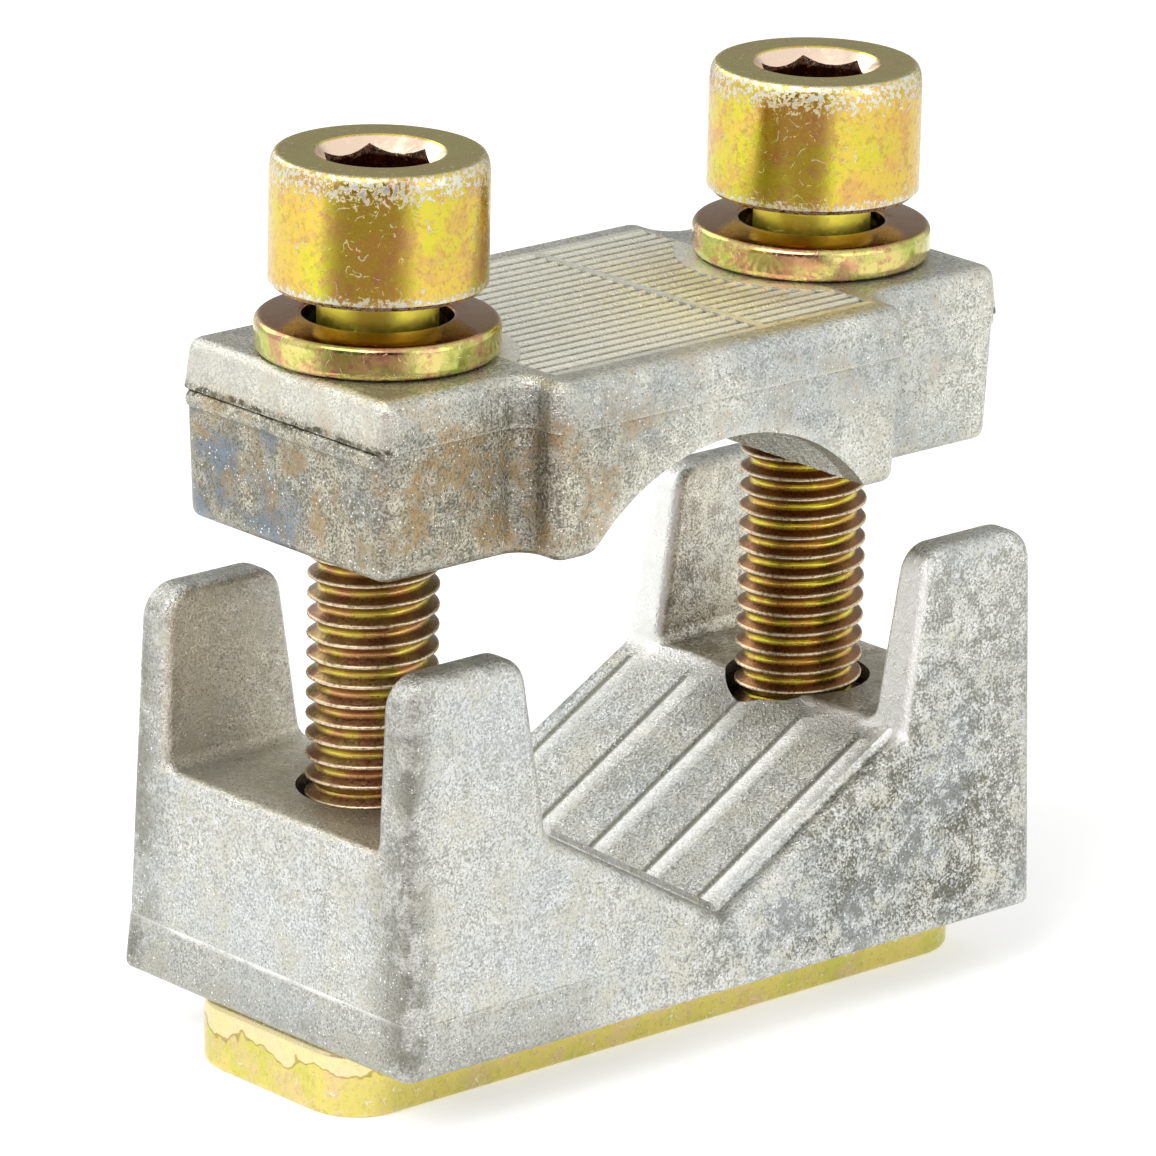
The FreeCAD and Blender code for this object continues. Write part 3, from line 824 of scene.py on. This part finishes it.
soft_lamp("key", azimuth=-75, elevation=42, distance=0.6, size=0.45, watts=3.2)
soft_lamp("fill", azimuth=10, elevation=25, distance=0.7, size=0.5, watts=0.8)
soft_lamp("back", azimuth=185, elevation=32, distance=0.6, size=0.3, watts=0.6)


def reflection_card(name, radius, top, first_azimuth, last_azimuth, low_colour, high_colour, change):
    """A curved card that only shows in polished metal, fading out towards its two ends."""
    shell = bmesh.new()
    foot = shell.verts.new((0, -radius, 0.0))
    head = shell.verts.new((0, -radius, top))
    edge = shell.edges.new((foot, head))
    bmesh.ops.rotate(shell, verts=shell.verts, cent=(0, 0, 0),
                     matrix=Matrix.Rotation(math.radians(first_azimuth), 3, "Z"))
    bmesh.ops.spin(
        shell, geom=[foot, head, edge], cent=(0, 0, 0), axis=(0, 0, 1),
        angle=math.radians(last_azimuth - first_azimuth), steps=24, use_merge=False, use_duplicate=False,
    )
    card = settle(shell, name)
    paint = bpy.data.materials.new(name)
    paint.use_nodes = True
    tree = paint.node_tree
    tree.nodes.remove(tree.nodes["Principled BSDF"])
    where = add(tree, "ShaderNodeTexCoord").outputs["Object"]
    height = axes(tree, where)["Z"]
    shade_of_card = lay(tree, spread(tree, height, change[0], change[1]), low_colour, high_colour)
    middle = math.radians((first_azimuth + last_azimuth) / 2)
    half = math.radians((last_azimuth - first_azimuth) / 2)
    facing = (math.sin(middle) / radius, -math.cos(middle) / radius, 0)
    share = add(tree, "ShaderNodeVectorMath", {0: where, 1: facing}, operation="DOT_PRODUCT")
    fade = spread(tree, share.outputs["Value"], math.cos(half), math.cos(half * 0.5))
    glow = add(tree, "ShaderNodeEmission", {"Color": lay(tree, fade, (1, 1, 1, 1), shade_of_card)})
    tree.links.new(glow.outputs[0], tree.nodes["Material Output"].inputs["Surface"])
    card.data.materials.append(paint)
    card.visible_camera = False
    card.visible_diffuse = False
    card.visible_transmission = False
    card.visible_shadow = False


reflection_card(
    "front_card", radius=0.11, top=0.13, first_azimuth=-98, last_azimuth=-14,
    low_colour=(0.46, 0.32, 0.38, 1), high_colour=(0.03, 0.03, 0.03, 1), change=(0.035, 0.075),
)
reflection_card(
    "rear_card", radius=0.25, top=0.22, first_azimuth=95, last_azimuth=168,
    low_colour=(0.4, 0.4, 0.38, 1), high_colour=(0.4, 0.4, 0.38, 1), change=(0.0, 0.1),
)

# The camera stands this far from a point above the middle of the plate, in millimetres.
aim = Vector((0, 0, 29.8))
camera_distance = 523.007
shift_right = -0.911
shift_up = -2.562
camera_azimuth = -42.216
camera_elevation = 17.622
camera_roll = math.radians(1.297)
back = away(camera_azimuth, camera_elevation)
level = Vector((math.cos(math.radians(camera_azimuth)), math.sin(math.radians(camera_azimuth)), 0))
up = back.cross(level)
right = level * math.cos(camera_roll) + up * math.sin(camera_roll)
top = up * math.cos(camera_roll) - level * math.sin(camera_roll)
lens = bpy.data.cameras.new("camera")
lens.sensor_width = 36
lens.lens = 269.5
lens.clip_start = 0.01
lens.clip_end = 20
camera = bpy.data.objects.new("camera", lens)
bpy.context.scene.collection.objects.link(camera)
stand = aim + right * shift_right + top * shift_up + back * camera_distance
camera.matrix_world = Matrix.Translation(stand * MM) @ Matrix((right, top, back)).transposed().to_4x4()
bpy.context.scene.camera = camera
bpy.context.scene.view_settings.view_transform = "Standard"
